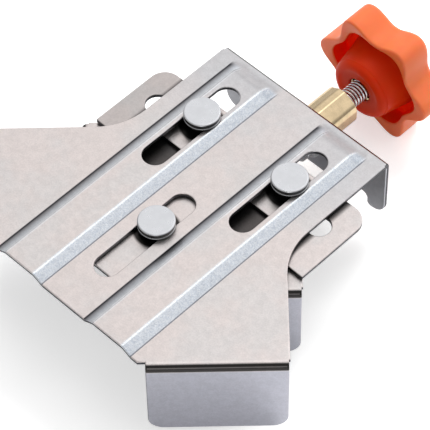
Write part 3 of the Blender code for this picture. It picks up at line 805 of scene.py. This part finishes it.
def make_spindle(mat, y_from, y_to, pitch):
    """Threaded rod: a core with chamfered ends and the ridge wound round it."""
    ridge = add_object("spindle_thread", bpy.data.meshes.new("spindle_thread"))
    tree, sockets = thread_tree(mat)
    wind = ridge.modifiers.new("Thread", "NODES")
    wind.node_group = tree
    start, stop = y_from + 0.0008, y_to - 0.0004
    turns = (stop - start - pitch) / pitch
    for name, value in (("Turns", turns), ("Pitch", pitch), ("Crest Radius", CREST_R), ("Depth", THREAD_DEPTH)):
        wind[sockets[name]] = value
    ridge = baked(ridge)
    first_turn = Matrix.Translation((0, 0, start + pitch / 2))
    ridge.data.transform(Matrix.Translation(DATUM) @ along_spindle() @ first_turn)

    root = CREST_R - THREAD_DEPTH
    work = bmesh.new()
    profile = [(0, y_to), (root - 0.0003, y_to), (root, y_to - 0.0004), (root, y_from + 0.0007),
               (root - 0.0007, y_from), (0, y_from)]
    lathe(work, profile, 48, along_spindle())
    core = piece("spindle_core", work, mat, 30)
    return core, ridge


# Knob

def knob_radius(angle, amount):
    """Outline of the knob, moved in by an amount."""
    lobe = (0.5 + 0.5 * math.cos(LOBES * angle)) ** LOBE_SHARPNESS
    return KNOB_R - amount - LOBE_DEPTH * (1 - lobe)


def pocket_radius(angle, amount):
    """Outline of the hollow behind the lip, moved out by an amount."""
    lobe = 0.5 + 0.5 * math.cos(LOBES * angle)
    return KNOB_R - LOBE_DEPTH - WAIST_WALL + POCKET_REACH * lobe + amount


def knob_rings(steps):
    """The knob's surface as rings, from its back to the insert's bore, and where pockets and boss start."""
    rings = []

    def ring(radius_at, height_at):
        points = []
        for k in range(steps):
            a = 2 * math.pi * k / steps
            r = radius_at(a)
            points.append((r * math.cos(a), r * math.sin(a), height_at(a)))
        rings.append(points)

    def even(value):
        return lambda a: value

    def outline(amount):
        return lambda a: knob_radius(a, amount)

    def pocket(amount):
        return lambda a: pocket_radius(a, amount)

    def quarter(count):
        turns = [math.radians(90 * k / count) for k in range(count + 1)]
        return [(1 - math.sin(t), 1 - math.cos(t)) for t in turns]

    rim = 0.0098
    for r, share in ((0.0040, 1), (0.0076, 1), (0.0081, 0.93), (0.0087, 0.25), (0.0092, 0.04), (rim, 0)):
        ring(even(r), even(KNOB_BACK - BACK_DISH * share))
    for share in (0.55, 0.8):
        ring(lambda a, s=share: rim + (knob_radius(a, BACK_EDGE * 1.6) - rim) * s, even(KNOB_BACK))
    ring(outline(BACK_EDGE * 1.6), even(KNOB_BACK - 0.00002))
    for start, end in quarter(6):
        ring(outline(BACK_EDGE * start), even(KNOB_BACK - BACK_EDGE * end))
    side = KNOB_BACK - KNOB_FRONT - BACK_EDGE - LIP_EDGE
    for k in range(1, 4):
        ring(outline(0.0), even(KNOB_BACK - BACK_EDGE - side * k / 4))
    for start, end in quarter(5):
        ring(outline(LIP_EDGE * end), even(KNOB_FRONT + LIP_EDGE * start))
    mouth = KNOB_FRONT + LIP_DISH
    for start, end in quarter(3):
        ring(pocket(POCKET_EDGE * start), even(mouth + POCKET_EDGE * end))

    slope = (BOSS_ROOT_R - BOSS_R) / (POCKET_FLOOR - BOSS_CONE_FRONT)

    def cone(h):
        return BOSS_R + (h - BOSS_CONE_FRONT) * slope

    def bottom(a):
        """Floor of the pocket, or where the boss's cone meets its wall."""
        meet = BOSS_CONE_FRONT + (pocket_radius(a, 0.0) - BOSS_R) / slope
        return max(min(POCKET_FLOOR, meet), mouth + POCKET_EDGE * 1.5)

    pocket_from = len(rings) - 1
    fillet = 0.0003
    ring(pocket(0.0), lambda a: mouth + POCKET_EDGE + (bottom(a) - mouth - POCKET_EDGE) * 0.5)
    ring(pocket(0.0), lambda a: bottom(a) - fillet)
    ring(pocket(-fillet), bottom)
    ring(lambda a: min(cone(bottom(a)) + 0.0002, pocket_radius(a, -fillet)), bottom)
    boss_from = len(rings) - 1
    cone_end = BOSS_FRONT + 0.0020
    for share in (0.66, 0.33, 0.0):
        ring(lambda a, s=share: cone(cone_end + (bottom(a) - cone_end) * s),
             lambda a, s=share: cone_end + (bottom(a) - cone_end) * s)
    for start, end in quarter(7)[1:]:
        ring(even(BOSS_R - BOSS_EDGE * end), even(BOSS_FRONT + BOSS_EDGE * start))
    for r, h in ((0.0084, 0.00004), (0.0078, 0.00022), (0.0070, 0.00040), (0.0058, 0.00045),
                 (0.0048, 0.00048), (0.0045, 0.00080), (0.0045, 0.0017), (0.0059, 0.0017),
                 (0.0059, INSERT_BACK - BOSS_FRONT)):
        ring(even(r), even(BOSS_FRONT + h))
    return rings, pocket_from, boss_from


def make_knob(mats):
    """Six-lobed knob: rounded rim, pockets in the lobes, and a boss that flares back into the waists."""
    steps = LOBES * 40
    rings, pocket_from, boss_from = knob_rings(steps)
    work = bmesh.new()
    made = [[work.verts.new(p) for p in points] for points in rings]
    for row, (upper, lower) in enumerate(zip(made, made[1:])):
        part = BOSS_SHADE_SLOT if row >= boss_from else POCKET_SHADE_SLOT if row >= pocket_from else 0
        for i in range(steps):
            work.faces.new((upper[i - 1], lower[i - 1], lower[i], upper[i])).material_index = part
    for loop, height, part in ((made[0], KNOB_BACK - BACK_DISH, 0), (made[-1], INSERT_BACK, BOSS_SHADE_SLOT)):
        pole = work.verts.new((0, 0, height))
        for i in range(steps):
            work.faces.new((loop[i - 1], loop[i], pole)).material_index = part
    bmesh.ops.transform(work, verts=work.verts, matrix=along_spindle())
    return piece("star_knob_moulded", work, mats, 42)


# Stage

def photo_camera():
    """The photograph's viewpoint: turned 45 degrees to the right and looking down at the clamp."""
    turn, lift, roll = math.radians(45.277), math.radians(52.592), math.radians(-1.206)
    distance, focal_px, image_px, sensor_mm = 0.828358, 2662.903, 430, 36
    target = DATUM + Vector((0.010297, -0.053307, 0.0))
    back = Vector((math.sin(turn) * math.cos(lift), -math.cos(turn) * math.cos(lift), math.sin(lift)))
    right = Vector((math.cos(turn), math.sin(turn), 0))
    up = back.cross(right)
    right, up = math.cos(roll) * right + math.sin(roll) * up, math.cos(roll) * up - math.sin(roll) * right
    data = bpy.data.cameras.new("camera")
    data.sensor_width = sensor_mm
    data.lens = focal_px * sensor_mm / image_px
    data.clip_start = 0.01
    cam = add_object("camera", data)
    axes = Matrix((right, up, back)).transposed().to_4x4()
    cam.matrix_world = Matrix.Translation(target + back * distance) @ axes
    bpy.context.scene.camera = cam


def studio_world():
    """Soft wide light, weaker from the front and both sides, with a bright strip overhead and one soft spot."""
    world = bpy.data.worlds.new("studio")
    world.use_nodes = True
    tree = world.node_tree
    tree.nodes.clear()
    coords = tree.nodes.new("ShaderNodeTexCoord").outputs["Generated"]
    towards = add_node(tree, "ShaderNodeSeparateXYZ", ((0, coords),)).outputs
    level = times(tree, span(tree, towards["X"], -0.98, -0.68, 0.40, 1.0),
                  span(tree, towards["X"], 0.68, 0.90, 1.0, 0.35),
                  span(tree, towards["Y"], -0.25, 0.30, 0.45, 1.0), 0.92)
    off = maths(tree, "ABSOLUTE", maths(tree, "ADD", towards["X"], 0.13))
    strip = times(tree, span(tree, off, 0.04, 0.12, 1.1, 0.0), span(tree, towards["Y"], -0.30, -0.05, 0.0, 1.0),
                  span(tree, towards["Z"], 0.3, 0.5, 0.0, 1.0))
    spot = (0.617, -0.718, 0.313)
    near = add_node(tree, "ShaderNodeVectorMath", ((0, coords), (1, spot)), operation="DOT_PRODUCT")
    spot_level = span(tree, near.outputs["Value"], 0.975, 0.992, 0.0, 2.5)
    level = maths(tree, "ADD", maths(tree, "ADD", level, strip), spot_level)
    soft = add_node(tree, "ShaderNodeBackground", ((0, (1, 1, 1, 1)), (1, level)))
    add_node(tree, "ShaderNodeOutputWorld", ((0, soft.outputs[0]),))
    bpy.context.scene.world = world


def soft_key():
    """Wide lamp high behind the clamp, which the metal doesn't mirror."""
    place, aim = Vector((-0.30, 0.92, 1.14)), Vector((0, -0.02, 0.02))
    data = bpy.data.lights.new("soft_key", "AREA")
    data.shape = "DISK"
    data.size = 0.9
    data.energy = 12.5
    lamp = add_object("soft_key", data)
    lamp.location = place
    lamp.rotation_euler = (aim - place).to_track_quat("-Z", "Y").to_euler()
    lamp.visible_glossy = False


def make_floor():
    """Pale floor with a faint glow of its own, so that it stays near white."""
    mat, shader = new_material("floor", (0.9, 0.9, 0.9))
    tree = mat.node_tree
    cloud = noise_node(tree, object_coords(tree), 3.0)
    colour = blend_colours(tree, cloud, (0.86, 0.86, 0.86), (0.90, 0.90, 0.90))
    tree.links.new(colour, shader.inputs["Base Color"])
    shader.inputs["Roughness"].default_value = 0.9
    shader.inputs["Specular IOR Level"].default_value = 0.2
    path = tree.nodes.new("ShaderNodeLightPath").outputs
    seen = maths(tree, "MAXIMUM", path["Is Camera Ray"], path["Is Transmission Ray"])
    glow = maths(tree, "ADD", times(tree, seen, 0.52), times(tree, path["Is Glossy Ray"], 0.10))
    shader.inputs["Emission Color"].default_value = (1, 1, 1, 1)
    tree.links.new(glow, shader.inputs["Emission Strength"])
    work = bmesh.new()
    bmesh.ops.create_circle(work, cap_ends=True, segments=96, radius=6.0)
    mesh = bpy.data.meshes.new("floor")
    work.to_mesh(mesh)
    work.free()
    mesh.materials.append(mat)
    floor = add_object("floor", mesh)
    floor.location.z = -0.0002


# Settings

class ClampSizes(PropertyGroup):
    edge: FloatProperty(name="Edge rounding", description="Softened edge of the pressed plates",
                        default=0.00030, min=0.0, max=0.0005, unit="LENGTH", precision=5)
    pitch: FloatProperty(name="Thread pitch", description="Distance between the spindle's turns",
                         default=0.00125, min=0.0005, max=0.002, unit="LENGTH", precision=5)


class ClampColours(PropertyGroup):
    steel_warm: FloatVectorProperty(name="Sheet, warm", description="Warmer tone of the zinc-coated sheet",
                                    subtype="COLOR", size=3, default=(0.80, 0.725, 0.705))
    steel_cool: FloatVectorProperty(name="Sheet, cool", description="Cooler tone of the zinc-coated sheet",
                                    subtype="COLOR", size=3, default=(0.765, 0.725, 0.715))
    pin: FloatVectorProperty(name="Pins", description="Steel of the headed pins",
                             subtype="COLOR", size=3, default=(0.76, 0.77, 0.80))
    brass: FloatVectorProperty(name="Brass", description="Colour of the brass nut and insert",
                               subtype="COLOR", size=3, default=(0.86, 0.67, 0.42))
    knob: FloatVectorProperty(name="Knob", description="Colour of the knob's plastic",
                              subtype="COLOR", size=3, default=(0.94, 0.21, 0.063))


def sizes():
    return bpy.context.scene.clamp_sizes


def colours():
    return bpy.context.scene.clamp_colours


def stand_for(obj, body, node):
    """Hang a finished piece on its body, in place of the solid that it dresses."""
    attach(obj, body)
    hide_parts(node)


def dimmed(tone, *shares):
    return tuple(part * share for part, share in zip(tone, shares))


def shared_metal(name, *look, **more):
    """The named metal, made when it is first asked for."""
    return bpy.data.materials.get(name) or machined(name, *look, **more)


def plate_steel(node, top, slopes=False, strip_shadowed=False):
    """Sheet steel for one plate, and the dark steel of its sheared edges."""
    look = colours()
    sheet = sheet_steel(node + "_sheet", tuple(look.steel_warm), tuple(look.steel_cool), 0.33,
                        top, slopes, strip_shadowed)
    # The sheared edges' steel is far darker than bare steel: partly its own colour, partly painted shade on
    # edges and slot walls
    return sheet, shared_metal("sheared_edge", (0.13, 0.13, 0.145), (0.07, 0.07, 0.08), 0.42)


def plated_steel():
    return shared_metal("bright_zinc", (0.66, 0.67, 0.70), (0.56, 0.57, 0.60), 0.27)


def bar_brass():
    tone = tuple(colours().brass)
    return shared_metal("bar_brass", tone, dimmed(tone, 0.82, 0.82, 0.82), 0.12, grit=0.06)


# Operators

class CLAMP_OT_top_plate(Operator):
    """Press the ribbed top plate with its fixed jaws and back flange"""
    bl_idname = "clamp.top_plate"
    bl_label = "Top plate"

    def execute(self, context):
        plate = make_top_plate(plate_steel("top_plate", 0.0, slopes=True), sizes().edge)
        stand_for(plate, "frame", "top_plate")
        return {"FINISHED"}


class CLAMP_OT_slider_plates(Operator):
    """Press the slider's guide plate and jaw plate"""
    bl_idname = "clamp.slider_plates"
    bl_label = "Slider plates"

    def execute(self, context):
        edge = sizes().edge
        guide = make_guide_plate(plate_steel("guide_plate", GUIDE_TOP), edge)
        stand_for(guide, "slider", "guide_plate")
        jaws = make_jaw_plate(plate_steel("jaw_plate", JAW_PLATE_TOP, strip_shadowed=True), edge)
        stand_for(jaws, "slider", "jaw_plate")
        return {"FINISHED"}


class CLAMP_OT_pins(Operator):
    """Turn the three headed pins and their washers"""
    bl_idname = "clamp.pins"
    bl_label = "Pins and washers"

    def execute(self, context):
        tone = tuple(colours().pin)
        steel = machined("pin_satin", tone, dimmed(tone, 0.94, 0.94, 0.94), 0.30, side=0.08)
        for name, x, y, seat in PINS:
            stand_for(make_pin(name, x, y, seat, steel), "slider", name)
            washer = name.replace("guide_pin", "pin_washer")
            ring = make_ring(washer + "_ring", SHANK_R + GAP, HEAD_R, seat + GAP, seat + GAP + WASHER_H,
                             Matrix.Translation((x, y, 0)), steel)
            stand_for(ring, "slider", washer)
        return {"FINISHED"}


class CLAMP_OT_spindle(Operator):
    """Cut the spindle's thread"""
    bl_idname = "clamp.spindle"
    bl_label = "Spindle"

    def execute(self, context):
        steel = machined("rolled_thread", (0.88, 0.87, 0.88), (0.76, 0.76, 0.78), 0.22)
        for part in make_spindle(steel, *reach_of("spindle"), sizes().pitch):
            stand_for(part, "screw", "spindle")
        return {"FINISHED"}


class CLAMP_OT_nuts(Operator):
    """Make the nuts and thrust washers along the spindle"""
    bl_idname = "clamp.nuts"
    bl_label = "Nuts and thrust washers"

    def execute(self, context):
        for node, body, mat, slot_name, turn in (
                ("carrier_nut", "slider", plated_steel(), "zinc_plate", 0.0),
                ("lock_nut", "screw", plated_steel(), "zinc_plate", 0.0),
                ("collar_nut", "screw", bar_brass(), "brass", COLLAR_TURN)):
            stand_for(make_hex(node + "_hex", *reach_of(node), mat, turn), body, node)
        for node in ("thrust_washer_inner", "thrust_washer_outer"):
            stand_for(ring_on_spindle(node, plated_steel()), "screw", node)
        return {"FINISHED"}


class CLAMP_OT_knob(Operator):
    """Mould the star knob round its threaded insert"""
    bl_idname = "clamp.knob"
    bl_label = "Knob and insert"

    def execute(self, context):
        tone = tuple(colours().knob)
        plastic = moulded_plastic("orange_moulded", tone, dimmed(tone, 0.9, 0.8, 0.8))
        # Painted shade: the pockets and the boss take darker, deeper copies of the orange
        deep = dimmed(tone, 0.98, 0.24, 0.08)
        pocket = moulded_plastic("orange_pocket_shaded", deep, dimmed(deep, 0.9, 0.8, 0.8), 0.05, 0.016)
        deep = dimmed(deep, 0.84, 0.84, 0.84)
        boss = moulded_plastic("orange_boss_shaded", deep, dimmed(deep, 0.85, 0.8, 0.8), 0.10, 0.006)
        stand_for(make_knob((plastic, pocket, boss)), "screw", "star_knob")
        insert = ring_on_spindle("knob_insert", bar_brass(), edge=0.0003)
        stand_for(insert, "screw", "knob_insert")
        return {"FINISHED"}


class CLAMP_OT_stage(Operator):
    """Set the floor, the soft studio light and the camera"""
    bl_idname = "clamp.stage"
    bl_label = "Studio stage"

    def execute(self, context):
        context.scene.view_settings.view_transform = "Standard"
        make_floor()
        studio_world()
        soft_key()
        photo_camera()
        return {"FINISHED"}


class CLAMP_PT_panel(Panel):
    """Steps and settings of the corner clamp"""
    bl_idname = "CLAMP_PT_panel"
    bl_label = "Corner Clamp"
    bl_space_type = "VIEW_3D"
    bl_region_type = "UI"
    bl_category = "Corner Clamp"

    def draw(self, context):
        for group in (context.scene.clamp_sizes, context.scene.clamp_colours):
            box = self.layout.box()
            for name in group.bl_rna.properties.keys():
                if name not in ("rna_type", "name"):
                    box.prop(group, name)
        column = self.layout.column(align=True)
        for step in STEPS:
            column.operator(step.bl_idname)


STEPS = (CLAMP_OT_stage, CLAMP_OT_top_plate, CLAMP_OT_slider_plates, CLAMP_OT_pins, CLAMP_OT_spindle,
         CLAMP_OT_nuts, CLAMP_OT_knob)
CLASSES = (ClampSizes, ClampColours) + STEPS + (CLAMP_PT_panel,)


def register():
    for cls in CLASSES:
        bpy.utils.register_class(cls)
    bpy.types.Scene.clamp_sizes = PointerProperty(type=ClampSizes)
    bpy.types.Scene.clamp_colours = PointerProperty(type=ClampColours)


def unregister():
    del bpy.types.Scene.clamp_colours
    del bpy.types.Scene.clamp_sizes
    for cls in reversed(CLASSES):
        bpy.utils.unregister_class(cls)


def main():
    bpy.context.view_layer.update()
    register()
    for step in ("stage", "top_plate", "slider_plates", "pins", "spindle", "nuts", "knob"):
        getattr(bpy.ops.clamp, step)()


if __name__ == "__main__":
    main()
